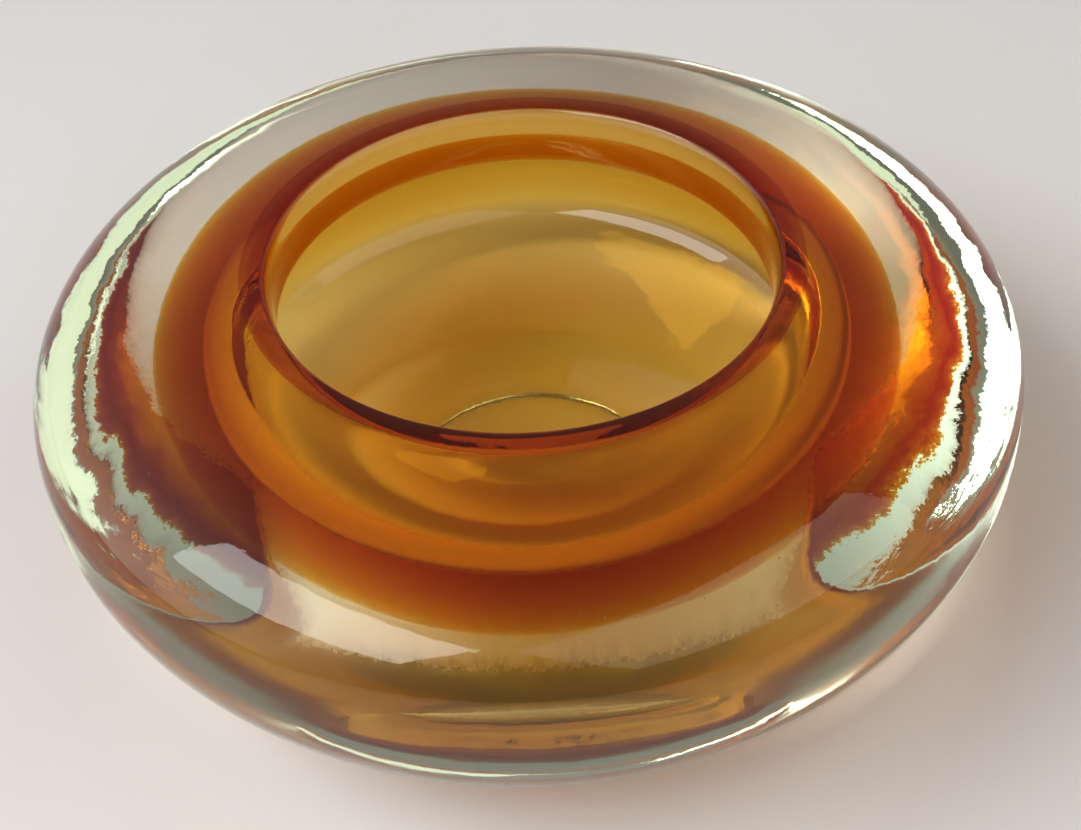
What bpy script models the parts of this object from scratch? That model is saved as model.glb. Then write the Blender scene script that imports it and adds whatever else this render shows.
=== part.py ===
"""Thick cased glass bowl: a clear casing fused round an amber inner layer.

Metres, +Z up. The origin is the centre of the flat ground base.
"""

import math
from collections import namedtuple

import bpy

# Outside of the bowl
MAX_RADIUS = 0.075
WIDEST_HEIGHT = 0.03794
RIM_HEIGHT = 0.05828
RIM_RADIUS = 0.04155
BASE_RADIUS = 0.039
SHOULDER_ROUNDNESS = 2.95
BELLY_ROUNDNESS = 1.87

# Shallow polished hollow in the middle of the ground base
RECESS_RADIUS = 0.021
RECESS_DEPTH = 0.00075

# Well: a short straight neck under the lip, a low wide chamber and a round floor
MOUTH_RADIUS = 0.0373
NECK_DEPTH = 0.0089
CHAMBER_RADIUS = 0.04711
CHAMBER_HEIGHT = 0.036
FLOOR_HEIGHT = 0.02475
FLOOR_ROUNDNESS = 2.40
LIP_ROUNDING_IN = 0.0015
LIP_ROUNDING_DOWN = 0.00499
NECK_TURN = 0.00151
CEILING_RISE = 0.01031

# Amber layer: thin on the floor, thickest round the chamber, and cut level with the lip
AMBER_AT_LIP = 0.00362
AMBER_OVER_CEILING = 0.00361
AMBER_AT_CHAMBER = 0.00712
AMBER_UNDER_FLOOR = 0.00285
AMBER_WIDEST_ABOVE_CHAMBER = 0.00263
AMBER_BACK_ROUNDNESS = 2.70

# Clearance between the two fused layers
LAYER_GAP = 0.0003

# Fineness of the turned surfaces
TURN_STEPS = 48
SHOULDER_STEPS = 10
BELLY_STEPS = 12
CEILING_STEPS = 8
FLOOR_STEPS = 8
LIP_STEPS = 4
RECESS_STEPS = 4

CLEAR_COLOUR = (0.86, 0.92, 0.87, 1.0)
AMBER_COLOUR = (0.85, 0.43, 0.06, 1.0)
GLASS_ROUGHNESS = 0.02
GLASS_IOR = 1.5

# One face that surrounds the well: its neck, its widest circle, its floor and its ceiling curve
Face = namedtuple(
    "Face",
    "neck_radius neck_height wide_radius wide_height floor_height ceiling_rise roundness",
)

WELL = Face(
    MOUTH_RADIUS,
    RIM_HEIGHT - NECK_DEPTH,
    CHAMBER_RADIUS,
    CHAMBER_HEIGHT,
    FLOOR_HEIGHT,
    CEILING_RISE,
    FLOOR_ROUNDNESS,
)
AMBER_BACK = Face(
    WELL.neck_radius + AMBER_AT_LIP,
    WELL.neck_height + AMBER_OVER_CEILING,
    WELL.wide_radius + AMBER_AT_CHAMBER,
    WELL.wide_height + AMBER_WIDEST_ABOVE_CHAMBER,
    WELL.floor_height - AMBER_UNDER_FLOOR,
    WELL.ceiling_rise + AMBER_OVER_CEILING - AMBER_WIDEST_ABOVE_CHAMBER,
    AMBER_BACK_ROUNDNESS,
)
CASING_FRONT = Face(
    AMBER_BACK.neck_radius + LAYER_GAP,
    AMBER_BACK.neck_height + LAYER_GAP,
    AMBER_BACK.wide_radius + LAYER_GAP,
    AMBER_BACK.wide_height,
    AMBER_BACK.floor_height - LAYER_GAP,
    AMBER_BACK.ceiling_rise + LAYER_GAP,
    AMBER_BACK.roundness,
)


def clear_scene():
    for obj in list(bpy.data.objects):
        bpy.data.objects.remove(obj, do_unlink=True)


def superellipse(radius, height, roundness, angle):
    """The point of a superellipse quadrant at this angle, measured up from its radius."""
    across = radius * max(math.cos(angle), 0.0) ** (2 / roundness)
    up = height * math.sin(angle) ** (2 / roundness)
    return across, up


def end_of_arc(radius, roundness, end_radius):
    """(angle, share of the full height) at which the quadrant has come in to end_radius."""
    share = (end_radius / radius) ** roundness
    return math.acos(math.sqrt(share)), (1 - share) ** (1 / roundness)


def shoulder():
    """From the lip's outer edge down to the widest circle."""
    end, share = end_of_arc(MAX_RADIUS, SHOULDER_ROUNDNESS, RIM_RADIUS)
    height = (RIM_HEIGHT - WIDEST_HEIGHT) / share
    points = []
    for step in range(SHOULDER_STEPS + 1):
        angle = end * (1 - step / SHOULDER_STEPS)
        across, up = superellipse(MAX_RADIUS, height, SHOULDER_ROUNDNESS, angle)
        points.append((across, WIDEST_HEIGHT + up))
    return points


def belly():
    """From under the widest circle down to the edge of the base."""
    end, share = end_of_arc(MAX_RADIUS, BELLY_ROUNDNESS, BASE_RADIUS)
    height = WIDEST_HEIGHT / share
    points = []
    for step in range(1, BELLY_STEPS + 1):
        angle = end * step / BELLY_STEPS
        across, up = superellipse(MAX_RADIUS, height, BELLY_ROUNDNESS, angle)
        points.append((across, WIDEST_HEIGHT - up))
    return points


def recess():
    """The polished hollow, from its edge on the base in to the axis."""
    points = []
    for step in range(RECESS_STEPS + 1):
        share = 1 - step / RECESS_STEPS
        points.append((RECESS_RADIUS * share, RECESS_DEPTH * (1 - share**4)))
    return points


def ceiling(face):
    """From the neck out and down to the widest circle, as one Bezier curve."""
    start = face.neck_height
    end = face.wide_height
    points = []
    for step in range(CEILING_STEPS + 1):
        t = step / CEILING_STEPS
        near_neck = (1 - t) ** 3 + 3 * t * (1 - t) ** 2
        across = near_neck * face.neck_radius + (1 - near_neck) * face.wide_radius
        up = (
            (1 - t) ** 3 * start
            + 3 * t * (1 - t) ** 2 * (start - NECK_TURN)
            + 3 * t**2 * (1 - t) * (end + face.ceiling_rise)
            + t**3 * end
        )
        points.append((across, up))
    return points


def bottom(face):
    """From below the widest circle down and in to the axis."""
    depth = face.wide_height - face.floor_height
    points = []
    for step in range(1, FLOOR_STEPS + 1):
        angle = math.pi / 2 * step / FLOOR_STEPS
        across, up = superellipse(face.wide_radius, depth, face.roundness, angle)
        points.append((across, face.wide_height - up))
    return points


def lip_corner():
    """The rounded inner edge of the lip, from the neck up to the flat rim."""
    points = []
    for step in range(LIP_STEPS + 1):
        angle = math.pi / 2 * step / LIP_STEPS
        across = MOUTH_RADIUS + LIP_ROUNDING_IN * (1 - math.cos(angle))
        up = RIM_HEIGHT - LIP_ROUNDING_DOWN * (1 - math.sin(angle))
        points.append((across, up))
    return points


def around(face):
    """The whole face, from the neck to the axis."""
    return ceiling(face) + bottom(face)


def glass(name, colour):
    material = bpy.data.materials.new(name)
    material.use_nodes = True
    shader = material.node_tree.nodes["Principled BSDF"]
    shader.inputs["Base Color"].default_value = colour
    shader.inputs["Roughness"].default_value = GLASS_ROUGHNESS
    shader.inputs["Metallic"].default_value = 0.0
    shader.inputs["IOR"].default_value = GLASS_IOR
    shader.inputs["Transmission Weight"].default_value = 1.0
    return material


def turned(name, profile, material, collection):
    """A solid of revolution. The profile starts and ends on the axis, and runs down its outer side."""
    mesh = bpy.data.meshes.new(name)
    edges = [(index, index + 1) for index in range(len(profile) - 1)]
    mesh.from_pydata([(across, 0.0, up) for across, up in profile], edges, [])
    mesh.materials.append(material)
    obj = bpy.data.objects.new(name, mesh)
    collection.objects.link(obj)
    screw = obj.modifiers.new("turn", "SCREW")
    screw.axis = "Z"
    screw.angle = 2 * math.pi
    screw.steps = TURN_STEPS
    screw.render_steps = TURN_STEPS
    screw.use_merge_vertices = True
    screw.merge_threshold = 0.0001
    screw.use_smooth_shade = True
    return obj


def add_clear_casing(collection):
    inside = around(CASING_FRONT)[::-1]
    rim = [(CASING_FRONT.neck_radius, RIM_HEIGHT)]
    profile = inside + rim + shoulder() + belly() + recess()
    return turned("clear_casing", profile, glass("clear glass", CLEAR_COLOUR), collection)


def add_amber_layer(collection):
    inside = around(WELL)[::-1]
    rim = [(AMBER_BACK.neck_radius, RIM_HEIGHT)]
    profile = inside + lip_corner() + rim + around(AMBER_BACK)
    return turned("amber_layer", profile, glass("amber glass", AMBER_COLOUR), collection)


def main():
    clear_scene()
    collection = bpy.data.collections.new("art glass bowl")
    bpy.context.scene.collection.children.link(collection)
    add_clear_casing(collection)
    add_amber_layer(collection)


main()
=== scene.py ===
"""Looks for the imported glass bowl: polished clear glass cased over amber, on a pale table.

Lengths are shares of the bowl's widest radius R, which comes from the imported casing, and are
turned into metres where a mesh is made. Metres are marked as such.
"""

import math
import random

import bmesh
import bpy
import numpy as np
from mathutils import Matrix, Vector, noise


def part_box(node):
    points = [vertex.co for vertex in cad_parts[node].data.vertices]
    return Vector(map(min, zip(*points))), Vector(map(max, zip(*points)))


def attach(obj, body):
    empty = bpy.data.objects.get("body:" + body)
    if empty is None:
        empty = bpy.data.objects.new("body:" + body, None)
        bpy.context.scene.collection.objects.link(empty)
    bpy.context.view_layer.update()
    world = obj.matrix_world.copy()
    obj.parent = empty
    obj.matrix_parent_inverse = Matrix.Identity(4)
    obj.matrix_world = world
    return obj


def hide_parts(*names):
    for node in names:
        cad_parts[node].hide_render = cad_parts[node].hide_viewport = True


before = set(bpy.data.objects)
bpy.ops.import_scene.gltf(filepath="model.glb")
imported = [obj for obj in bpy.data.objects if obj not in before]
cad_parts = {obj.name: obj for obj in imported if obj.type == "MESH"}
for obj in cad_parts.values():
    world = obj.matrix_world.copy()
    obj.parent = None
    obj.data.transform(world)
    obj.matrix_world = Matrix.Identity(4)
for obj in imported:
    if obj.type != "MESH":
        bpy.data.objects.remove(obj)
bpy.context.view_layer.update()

casing_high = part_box("clear_casing")[1]
amber_low, amber_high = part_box("amber_layer")
R = casing_high.x

# Outside
H = casing_high.z / R
WIDEST_Z = 0.5059
RIM_R = 0.554
BASE_R = 0.52
TOP_ROUND = 2.945
BELLY_ROUND = 1.87
RECESS_R = 0.28
RECESS_DEPTH = 0.01
RECESS_POWER = 10          # how flat the roof of the recess is

# Well
MOUTH_R = 0.4973
LIP_IN = 0.02
LIP_DOWN = 0.0666
NECK_Z = H - 0.1187
NECK_TURN = 0.0202
WELL_R = 0.6281
WELL_WIDEST_Z = 0.48
CEILING_RISE = 0.1374
FLOOR_Z = 0.33
FLOOR_ROUND = 2.4

# Back of the amber
AMBER_MOUTH_R = 0.5455
AMBER_NECK_Z = NECK_Z + 0.0482
AMBER_R = amber_high.x / R
AMBER_WIDEST_Z = 0.515
AMBER_RISE = 0.1506
AMBER_FLOOR_Z = amber_low.z / R
AMBER_ROUND = 2.7
SKIN = 0.0007              # how far the amber stays inside the clear surface of the well

# Rows of the profiles, points round each ring, and the sharpest edge that is smoothed
RECESS_ROWS = 22
GROUND_ROWS = 7
BELLY_ROWS = 56
SHOULDER_ROWS = 48
LIP_ROWS = 14
NECK_ROWS = 7
AMBER_NECK_ROWS = 8
CEILING_ROWS = 44
FLOOR_ROWS = 52
SEGMENTS = 240
CREASE = math.radians(25)

# Unevenness. A wave is (size, count round a ring, turn, twist up the height), and a noise is
# (size, scale, seed, stretch up the height).
OUTER_WAVES = ((0.0014, 2, 0.7, 2), (0.0010, 3, 2.1, -3))
OUTER_SWELL = (0.0016, 2.6, 4.0, 1.0)
OUTER_FINE = ((0.0009, 7.0, 9.0, 1.0), (0.0004, 19.0, 1.0, 2.5))
OUTER_FINE_TOP = (0.30, 0.62)
WELL_WAVES = ((0.0026, 2, 1.9, 0), (0.0014, 3, 0.4, 4))
WELL_SWELL = (0.0030, 3.2, 6.0, 1.0)
AMBER_WAVES = ((0.0050, 2, 0.9, 0), (0.0024, 5, 2.4, -3))
AMBER_SWELL = (0.0040, 3.0, 2.0, 1.0)
EVEN_AXIS = (0.12, 0.45)   # the floor is even near the axis, between these radii

# Bubbles
BUBBLE_STRETCH = (1.25, 1.0, 0.85)
LINE_BUBBLES = 9
LINE_START = 5             # degrees from the front, towards the right
LINE_STEP = 4.2
LINE_R = 0.742
LINE_Z = 0.50
LINE_SIZE = 0.0013
STRAY_BUBBLES = 16

# Clear glass. Densities of absorption are per metre.
CLEAR_IOR = 1.5
CLEAR_COLOUR = (0.875, 0.965, 0.79)
CLEAR_DENSITY = 12
RIM_AMBER_AND_SHADE = (0.56, 0.22, 0.13)    # painted shade at the cut rim, over a darker amber colour there
NECK_AMBER_AND_SHADE = (0.82, 0.44, 0.16)   # and a little painted shade down the neck, over darker amber
WHITE = (1.0, 1.0, 1.0, 1.0)
MOUTH_SHADE_MARGIN = 0.004
GROUND_TOP = 0.0002              # metres
GROUND_ROUGHNESS = 0.12
GROUND_SCUFFS = 0.06

# Amber glass
AMBER_COLOUR = (0.927, 0.745, 0.08)
AMBER_DENSITY = 455.45

# Table and light. Angles are in degrees, sizes and distances in metres.
TABLE_HALF = 2.0
TABLE_DROP = 0.0001
TABLE_TONE = 0.817
ROOM_TINT = (1.0, 0.97, 0.935)
ROOM_LEVELS = ((0.0, 0.28), (0.3, 0.32), (0.65, 0.15), (1.0, 0.15))
COOL = (0.97, 0.99, 1.0)
WARM = (1.0, 0.93, 0.84)
WALLS = ((-93.4, 15, 2, COOL), (97, 7, 0.6, WARM))  # azimuth, elevation, level and colour
WALL_SPREAD = 5
PANEL_DISTANCE = 0.9
PANEL_HEIGHT = 0.03

# Camera. Angles are in degrees, distances are shares of R, and the film and lens are in mm.
CAMERA_RISE = 41.4
CAMERA_YAW = 0.40
CAMERA_PITCH = 42.5
CAMERA_ROLL = -2.77
CAMERA_DISTANCE = 4
CAMERA_CENTRE_Z = 0.45
FILM_WIDTH = 36.0
LENS = 63.91


# ---------------------------------------- profiles, as rows of (radius, height)
def quadrant(radius, height, roundness, start, end, count):
    """Part of a superellipse quadrant, as radius and rise."""
    angle = np.linspace(start, end, count)
    across = radius * np.clip(np.cos(angle), 0, 1) ** (2 / roundness)
    rise = height * np.clip(np.sin(angle), 0, 1) ** (2 / roundness)
    return across, rise


def arc_end(roundness, end_radius):
    """Where a quadrant of radius 1 comes in to end_radius: its angle and share of the height."""
    share = end_radius**roundness
    return math.acos(math.sqrt(share)), (1 - share) ** (1 / roundness)


def outside():
    """From the axis under the base, up the belly and over the shoulder to the rim's outer edge."""
    t = np.sin(np.linspace(0, math.pi / 2, RECESS_ROWS))[:-1]
    hollow = np.stack([RECESS_R * t, RECESS_DEPTH * (1 - t**RECESS_POWER)], 1)
    across = np.linspace(RECESS_R, BASE_R, GROUND_ROWS)[:-1]
    ground = np.stack([across, np.zeros(len(across))], 1)
    end, share = arc_end(BELLY_ROUND, BASE_R)
    across, rise = quadrant(1, WIDEST_Z / share, BELLY_ROUND, end, 0, BELLY_ROWS)
    belly = np.stack([across, WIDEST_Z - rise], 1)
    end, share = arc_end(TOP_ROUND, RIM_R)
    across, rise = quadrant(1, (H - WIDEST_Z) / share, TOP_ROUND, 0, end, SHOULDER_ROWS)
    shoulder = np.stack([across, WIDEST_Z + rise], 1)
    return np.concatenate([hollow, ground, belly, shoulder[1:]])


def pocket(mouth, neck, wide, widest, rise, floor, roundness):
    """From the foot of the neck, under the ceiling, and down the wall and the floor to the axis."""
    t = np.linspace(0, 1, CEILING_ROWS)
    near = (1 - t) ** 3 + 3 * t * (1 - t) ** 2
    up = (1 - t) ** 3 * neck + 3 * t * (1 - t) ** 2 * (neck - NECK_TURN)
    up = up + 3 * t**2 * (1 - t) * (widest + rise) + t**3 * widest
    ceiling = np.stack([near * mouth + (1 - near) * wide, up], 1)
    across, down = quadrant(wide, widest - floor, roundness, 0, math.pi / 2, FLOOR_ROWS)
    return np.concatenate([ceiling, np.stack([across, widest - down], 1)[1:]])


def well():
    """From the flat rim, round the lip and down the neck, then the pocket."""
    a = np.linspace(0, math.pi / 2, LIP_ROWS)
    lip = np.stack([MOUTH_R + LIP_IN * (1 - np.sin(a)), H - LIP_DOWN * (1 - np.cos(a))], 1)
    z = np.linspace(H - LIP_DOWN, NECK_Z, NECK_ROWS)[1:-1]
    neck = np.stack([np.full(len(z), MOUTH_R), z], 1)
    below = pocket(MOUTH_R, NECK_Z, WELL_R, WELL_WIDEST_Z, CEILING_RISE, FLOOR_Z, FLOOR_ROUND)
    return np.concatenate([lip, neck, below])


def amber_back():
    """The outer face of the amber: down the neck from just under the rim, then its pocket."""
    z = np.linspace(H - SKIN, AMBER_NECK_Z, AMBER_NECK_ROWS)[:-1]
    neck = np.stack([np.full(len(z), AMBER_MOUTH_R), z], 1)
    below = pocket(
        AMBER_MOUTH_R, AMBER_NECK_Z, AMBER_R, AMBER_WIDEST_Z, AMBER_RISE, AMBER_FLOOR_Z, AMBER_ROUND
    )
    return np.concatenate([neck, below])


def normals(profile):
    """The unit normal of each row, to the left of the way that the profile runs."""
    along = np.gradient(profile, axis=0)
    along /= np.linalg.norm(along, axis=1, keepdims=True) + 1e-12
    return np.stack([-along[:, 1], along[:, 0]], 1)


# ---------------------------------------- hand-made unevenness
def fade(value, start, end):
    """From 0 at start to 1 at end, with soft ends."""
    share = min(1.0, max(0.0, (value - start) / (end - start)))
    return share * share * (3 - 2 * share)


def waves(angle, height, rows):
    return sum(
        size * np.sin(count * angle + turn + twist * height) for size, count, turn, twist in rows
    )


def round_noise(angle, radius, height, size, scale, seed, stretch):
    """Smooth noise round a ring, the same on every run."""
    out = np.empty(len(angle))
    for index, turn in enumerate(angle):
        place = Vector((radius * math.cos(turn), radius * math.sin(turn), stretch * height)) * scale
        out[index] = noise.noise(place + Vector((seed, -seed, 2 * seed)))
    return size * out


def outer_ripple(angle, radius, height):
    """Slow swells and, low down, finer ripples, with none at the cut rim or the ground base."""
    reach = fade(height, 0.0, 0.12) * (1 - fade(height, H - 0.12, H - 0.01))
    swell = waves(angle, height, OUTER_WAVES) + round_noise(angle, radius, height, *OUTER_SWELL)
    fine = sum(round_noise(angle, radius, height, *row) for row in OUTER_FINE)
    return reach * (swell + (1 - fade(height, *OUTER_FINE_TOP)) * fine)


def well_ripple(angle, radius, height):
    """Slow swells of the well's wall and floor."""
    reach = fade(NECK_Z - height, 0.0, 0.14) * fade(radius, *EVEN_AXIS)
    swell = waves(angle, height, WELL_WAVES)
    return reach * (swell + round_noise(angle, radius, height, *WELL_SWELL))


def amber_ripple(angle, radius, height):
    """The amber gather is a little thicker on some sides than on others."""
    reach = fade(AMBER_NECK_Z - height, 0.0, 0.10) * fade(radius, *EVEN_AXIS)
    swell = waves(angle, height, AMBER_WAVES)
    return reach * (swell + round_noise(angle, radius, height, *AMBER_SWELL))


# ---------------------------------------- meshes
def turned(name, profile, ripples):
    """A closed turned mesh. Each row has its own ripple, which moves it along its normal."""
    points, rings = [], []
    angle = np.arange(SEGMENTS) * 2 * math.pi / SEGMENTS
    for (radius, height), normal, ripple in zip(profile, normals(profile), ripples):
        if radius < 1e-6:
            rings.append([len(points)])
            points.append((0.0, 0.0, height * R))
            continue
        rings.append(list(range(len(points), len(points) + SEGMENTS)))
        move = ripple(angle, radius, height)
        spread = (radius + move * normal[0]) * R
        rise = (height + move * normal[1]) * R
        points.extend(zip(spread * np.cos(angle), spread * np.sin(angle), rise))
    faces = []
    for low, high in zip(rings[:-1], rings[1:]):
        for k in range(SEGMENTS):
            n = (k + 1) % SEGMENTS
            if len(low) == 1:
                faces.append((low[0], high[n], high[k]))
            elif len(high) == 1:
                faces.append((low[k], low[n], high[0]))
            else:
                faces.append((low[k], low[n], high[n], high[k]))
    mesh = bpy.data.meshes.new(name)
    mesh.from_pydata([tuple(float(c) for c in point) for point in points], [], faces)
    work = bmesh.new()
    work.from_mesh(mesh)
    bmesh.ops.recalc_face_normals(work, faces=work.faces)
    work.to_mesh(mesh)
    work.free()
    obj = bpy.data.objects.new(name, mesh)
    bpy.context.scene.collection.objects.link(obj)
    return obj


def bubble_places():
    """A loose line at the front right and a few strays, as (angle, radius, height, size)."""
    draw = random.Random(7)
    places = []
    for step in range(LINE_BUBBLES):
        turn = math.radians(LINE_START + LINE_STEP * step + draw.uniform(-1.2, 1.2))
        radius = LINE_R + draw.uniform(-0.01, 0.01)
        places.append((turn, radius, LINE_Z + draw.uniform(-0.02, 0.02), LINE_SIZE))
    for _ in range(STRAY_BUBBLES):
        turn = draw.uniform(0, 2 * math.pi)
        radius = draw.uniform(0.74, 0.84)
        height = draw.uniform(0.30, 0.52)
        places.append((turn, radius, height, draw.uniform(0.0008, 0.0016)))
    return places


def add_bubbles(obj, places):
    """Adds small air bubbles to a glass mesh, turned inside out because they hold air."""
    work = bmesh.new()
    work.from_mesh(obj.data)
    for turn, radius, height, size in places:
        start = len(work.verts)
        bmesh.ops.create_icosphere(work, subdivisions=2, radius=size * R)
        work.verts.ensure_lookup_table()
        new = work.verts[start:]
        centre = Vector((radius * math.sin(turn), -radius * math.cos(turn), height)) * R
        for vert in new:
            stretched = [c * by for c, by in zip(vert.co, BUBBLE_STRETCH)]
            vert.co = Vector(stretched) + centre
        faces = {face for vert in new for face in vert.link_faces}
        bmesh.ops.reverse_faces(work, faces=list(faces))
    work.to_mesh(obj.data)
    work.free()


def smooth(obj):
    obj.data.shade_smooth()
    obj.data.set_sharp_from_angle(angle=CREASE)


# ---------------------------------------- materials
def put(tree, socket, value):
    """Links another socket to this one, or sets a plain value on it."""
    if isinstance(value, bpy.types.NodeSocket):
        tree.links.new(value, socket)
    else:
        socket.default_value = value


def add_node(tree, kind, **inputs):
    made = tree.nodes.new(kind)
    for name, value in inputs.items():
        made.inputs[name].default_value = value
    return made


def math_node(tree, operation, first, second):
    """A Math node over two sockets or numbers."""
    made = tree.nodes.new("ShaderNodeMath")
    made.operation = operation
    put(tree, made.inputs[0], first)
    put(tree, made.inputs[1], second)
    return made.outputs[0]


def vector_node(tree, operation, first, second, output="Vector"):
    """A Vector Math node over two sockets or values. SCALE takes a number second."""
    made = tree.nodes.new("ShaderNodeVectorMath")
    made.operation = operation
    put(tree, made.inputs[0], first)
    put(tree, made.inputs["Scale"] if operation == "SCALE" else made.inputs[1], second)
    return made.outputs[output]


def split(tree, vector):
    """The X, Y and Z of a vector."""
    made = tree.nodes.new("ShaderNodeSeparateXYZ")
    tree.links.new(vector, made.inputs[0])
    return made.outputs


def noise_socket(tree, place, scale, detail, roughness):
    made = add_node(tree, "ShaderNodeTexNoise", Scale=scale, Detail=detail, Roughness=roughness)
    tree.links.new(place, made.inputs["Vector"])
    return made.outputs["Fac"]


def ramp_socket(tree, factor, stops):
    """A colour ramp with (position, colour) stops."""
    made = tree.nodes.new("ShaderNodeValToRGB")
    while len(made.color_ramp.elements) < len(stops):
        made.color_ramp.elements.new(0.5)
    for element, (position, colour) in zip(made.color_ramp.elements, stops):
        element.position = position
        element.color = (*colour, 1.0)
    tree.links.new(factor, made.inputs["Fac"])
    return made.outputs["Color"]


def blend(tree, factor, first, second, kind="MIX"):
    """A colour Mix node over a factor and two colours, each a socket or a value."""
    made = tree.nodes.new("ShaderNodeMix")
    made.data_type = "RGBA"
    made.blend_type = kind
    for index, value in ((0, factor), (6, first), (7, second)):
        put(tree, made.inputs[index], value)
    return made.outputs[2]


def new_material(name):
    material = bpy.data.materials.new(name)
    material.use_nodes = True
    tree = material.node_tree
    place = tree.nodes.new("ShaderNodeTexCoord").outputs["Object"]
    return material, tree, tree.nodes["Principled BSDF"], place


def absorb(tree, colour, density):
    volume = add_node(tree, "ShaderNodeVolumeAbsorption", Color=(*colour, 1.0), Density=density)
    tree.links.new(volume.outputs[0], tree.nodes["Material Output"].inputs["Volume"])


def mouth_amber_and_shade(tree, reach, height):
    """White, but for painted shade over darker amber on the cut rim and the neck under it. Reach
    and height are in metres.
    """
    inside = math_node(tree, "LESS_THAN", reach, (RIM_R + MOUTH_SHADE_MARGIN) * R)
    below = math_node(tree, "SUBTRACT", H * R, height)
    below = math_node(tree, "DIVIDE", below, (H - NECK_Z) * R)
    # Painted shade over darker amber: darkest at the rim, lighter down the neck, none below it.
    stops = [(0.0, RIM_AMBER_AND_SHADE), (0.09, NECK_AMBER_AND_SHADE), (0.9, NECK_AMBER_AND_SHADE), (1.0, WHITE[:3])]
    return blend(tree, inside, WHITE, ramp_socket(tree, below, stops))


def ground_roughness(tree, place, reach, height):
    """Satin on the ground ring under the base, and polished everywhere else."""
    low = math_node(tree, "LESS_THAN", height, GROUND_TOP)
    ring = math_node(tree, "MULTIPLY", low, math_node(tree, "GREATER_THAN", reach, RECESS_R * R))
    scuffs = math_node(tree, "MULTIPLY", noise_socket(tree, place, 60.0, 2.0, 0.5), GROUND_SCUFFS)
    return math_node(tree, "MULTIPLY", ring, math_node(tree, "ADD", scuffs, GROUND_ROUGHNESS))


def blown_bump(tree, place):
    """Faint upright chill marks, under a slower unevenness."""
    upright = vector_node(tree, "MULTIPLY", place, (1.0, 1.0, 0.22))
    chill = add_node(tree, "ShaderNodeBump", Strength=0.09, Distance=0.0002)
    tree.links.new(noise_socket(tree, upright, 420.0, 3.0, 0.55), chill.inputs["Height"])
    bump = add_node(tree, "ShaderNodeBump", Strength=0.10, Distance=0.0004)
    tree.links.new(noise_socket(tree, place, 120.0, 2.0, 0.45), bump.inputs["Height"])
    tree.links.new(chill.outputs["Normal"], bump.inputs["Normal"])
    return bump.outputs["Normal"]


def clear_glass():
    """Polished glass, faintly green in its depth, with painted shade over darker amber at the mouth
    and a satin ground ring.
    """
    material, tree, shader, place = new_material("clear_glass_polished")
    shader.inputs["Transmission Weight"].default_value = 1.0
    shader.inputs["IOR"].default_value = CLEAR_IOR
    absorb(tree, CLEAR_COLOUR, CLEAR_DENSITY)
    cloud = noise_socket(tree, place, 45.0, 2.0, 0.4)
    tint = ramp_socket(tree, cloud, [(0.3, (0.985, 0.992, 0.985)), (0.7, WHITE[:3])])
    x, y, z = split(tree, place)
    level = math_node(tree, "ADD", math_node(tree, "POWER", x, 2), math_node(tree, "POWER", y, 2))
    reach = math_node(tree, "SQRT", level, 0)
    # A faint random cloud, times the painted shade over darker amber at the mouth.
    colour = blend(tree, 1.0, tint, mouth_amber_and_shade(tree, reach, z), "MULTIPLY")
    tree.links.new(colour, shader.inputs["Base Color"])
    tree.links.new(ground_roughness(tree, place, reach, z), shader.inputs["Roughness"])
    tree.links.new(blown_bump(tree, place), shader.inputs["Normal"])
    return material


def amber_glass():
    """Coloured glass under the clear surface: it bends and reflects nothing of its own."""
    material, tree, shader, place = new_material("amber_glass_clear")
    shader.inputs["Transmission Weight"].default_value = 1.0
    shader.inputs["IOR"].default_value = 1.0
    shader.inputs["Roughness"].default_value = 0.0
    shader.inputs["Specular IOR Level"].default_value = 0.0
    absorb(tree, AMBER_COLOUR, AMBER_DENSITY)
    cloud = noise_socket(tree, place, 38.0, 3.0, 0.5)
    tint = ramp_socket(tree, cloud, [(0.3, (1.0, 0.985, 0.955)), (0.7, WHITE[:3])])
    tree.links.new(tint, shader.inputs["Base Color"])
    return material


def table_paint():
    """Matt pale paint with a faint cloudiness."""
    material, tree, shader, place = new_material("painted_table")
    cloud = noise_socket(tree, place, 7.0, 6.0, 0.6)
    light = tuple(c * TABLE_TONE for c in (1.02, 1.0, 0.98))
    dark = tuple(c * TABLE_TONE for c in (0.98, 0.95, 0.925))
    paint = ramp_socket(tree, cloud, [(0.3, dark), (0.7, light)])
    tree.links.new(paint, shader.inputs["Base Color"])
    shader.inputs["Roughness"].default_value = 0.6
    return material


# ---------------------------------------- the bowl
def make_bowl():
    """Every face where glass meets air, the bubbles included."""
    outer, inner = outside(), well()
    profile = np.concatenate([outer, inner])
    ripples = [outer_ripple] * len(outer) + [well_ripple] * len(inner)
    bowl = turned("clear_glass_body", profile, ripples)
    add_bubbles(bowl, bubble_places())
    smooth(bowl)
    bowl.data.materials.append(clear_glass())
    return bowl


def make_amber():
    """The amber body, which stays just inside the skin of the well and ends just under the rim."""
    back, front = amber_back(), well()
    front = front + SKIN * normals(front)
    front[:, 1] = np.minimum(front[:, 1], H - SKIN)
    front[-1, 0] = 0.0
    profile = np.concatenate([back[::-1], front])
    ripples = [amber_ripple] * len(back) + [well_ripple] * len(front)
    amber = turned("amber_glass_lining", profile, ripples)
    smooth(amber)
    amber.data.materials.append(amber_glass())
    return amber


bowl = make_bowl()
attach(bowl, "root")
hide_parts("clear_casing")

amber = make_amber()
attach(amber, "root")
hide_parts("amber_layer")


# ---------------------------------------- table, light and camera
def make_table():
    mesh = bpy.data.meshes.new("table_top")
    work = bmesh.new()
    bmesh.ops.create_grid(work, x_segments=8, y_segments=8, size=TABLE_HALF)
    work.to_mesh(mesh)
    work.free()
    table = bpy.data.objects.new("table_top", mesh)
    table.location.z = -TABLE_DROP
    bpy.context.scene.collection.objects.link(table)
    mesh.materials.append(table_paint())
    return table


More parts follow.
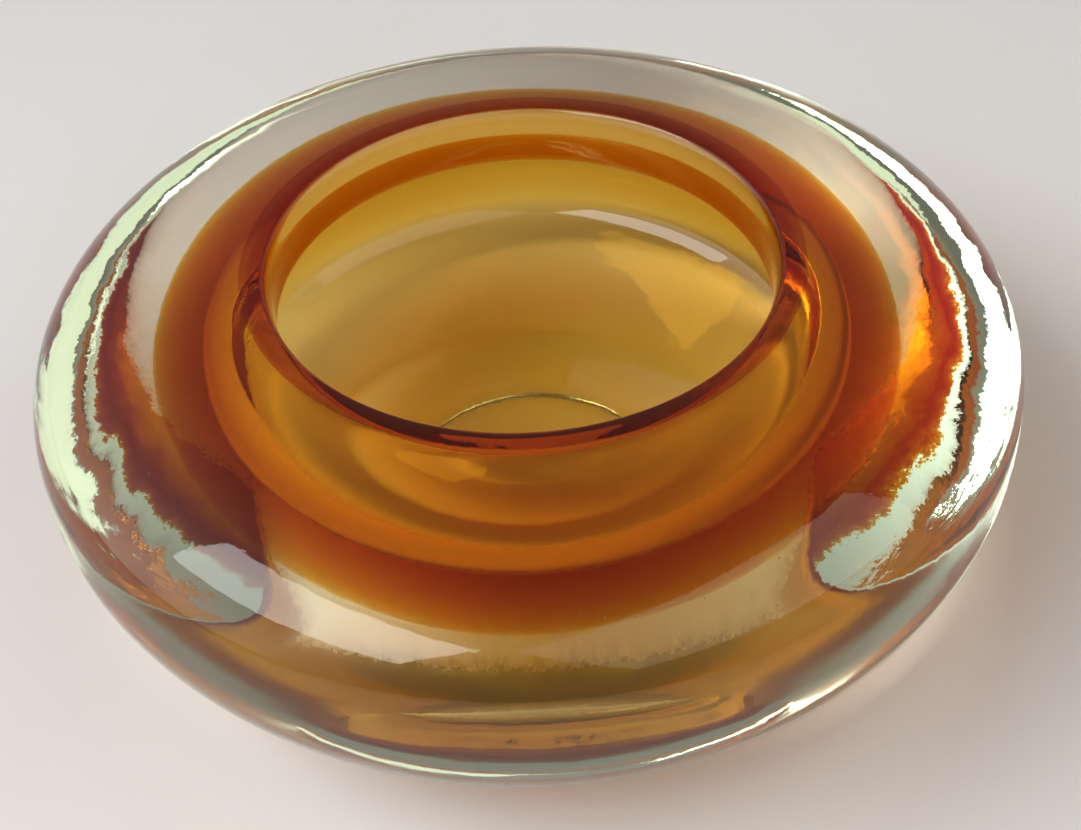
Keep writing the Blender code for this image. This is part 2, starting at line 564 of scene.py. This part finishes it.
def compass(azimuth, elevation):
    """The way to a light. Azimuth is turned from +Y, away from the camera, towards +X."""
    azimuth, elevation = math.radians(azimuth), math.radians(elevation)
    level = math.cos(elevation)
    return Vector((math.sin(azimuth) * level, math.cos(azimuth) * level, math.sin(elevation)))


def softbox(name, azimuth, elevation, size, power, colour):
    """A soft panel that faces the bowl."""
    way = compass(azimuth, elevation)
    light = bpy.data.lights.new(name, "AREA")
    light.shape = "RECTANGLE"
    light.size, light.size_y = size
    light.energy = power
    light.color = colour
    holder = bpy.data.objects.new(name, light)
    holder.location = way * PANEL_DISTANCE + Vector((0, 0, PANEL_HEIGHT))
    holder.rotation_euler = (-way).to_track_quat("-Z", "Y").to_euler()
    bpy.context.scene.collection.objects.link(holder)


def make_world():
    """A room that is dim overhead, with a bright wall low down on each side."""
    world = bpy.data.worlds.new("studio")
    bpy.context.scene.world = world
    world.use_nodes = True
    tree = world.node_tree
    way = tree.nodes.new("ShaderNodeTexCoord").outputs["Generated"]
    stops = [(height, tuple(level * part for part in ROOM_TINT)) for height, level in ROOM_LEVELS]
    total = ramp_socket(tree, split(tree, way)["Z"], stops)
    for azimuth, elevation, level, hue in WALLS:
        facing = vector_node(tree, "DOT_PRODUCT", way, compass(azimuth, elevation), "Value")
        reach = math_node(tree, "POWER", math_node(tree, "MAXIMUM", facing, 0), WALL_SPREAD)
        wall = vector_node(tree, "SCALE", hue, math_node(tree, "MULTIPLY", reach, level))
        total = vector_node(tree, "ADD", total, wall)
    background = tree.nodes["Background"]
    tree.links.new(total, background.inputs["Color"])
    background.inputs["Strength"].default_value = 1.0


def make_camera():
    """Looks down into the well, a little turned and rolled."""
    angles = (CAMERA_RISE, CAMERA_YAW, CAMERA_PITCH, CAMERA_ROLL)
    rise, yaw, pitch, roll = (math.radians(a) for a in angles)
    back = CAMERA_DISTANCE * math.cos(rise)
    place = Vector((0, -back, CAMERA_CENTRE_Z + CAMERA_DISTANCE * math.sin(rise))) * R
    level = math.cos(pitch)
    ahead = Vector((math.sin(yaw) * level, math.cos(yaw) * level, -math.sin(pitch)))
    right = ahead.cross(Vector((0, 0, 1))).normalized()
    up = right.cross(ahead)
    side = math.cos(roll) * right + math.sin(roll) * up
    top = -math.sin(roll) * right + math.cos(roll) * up
    camera = bpy.data.cameras.new("camera")
    camera.sensor_width = FILM_WIDTH
    camera.lens = LENS
    holder = bpy.data.objects.new("camera", camera)
    turn = Matrix((side, top, -ahead)).transposed().to_4x4()
    holder.matrix_world = Matrix.Translation(place) @ turn
    bpy.context.scene.collection.objects.link(holder)
    bpy.context.scene.camera = holder


make_table()
softbox("wall_right", 128, 50, (1.1, 0.62), 2, (1.0, 0.97, 0.92))
softbox("window_left", -121, 50, (0.806, 0.3844), 5, COOL)
make_world()
make_camera()

scene = bpy.context.scene
scene.view_settings.view_transform = "Standard"
scene.cycles.max_bounces = 24
scene.cycles.transmission_bounces = 24
scene.cycles.transparent_max_bounces = 24
scene.cycles.glossy_bounces = 12
scene.cycles.caustics_refractive = True
scene.cycles.blur_glossy = 0.0
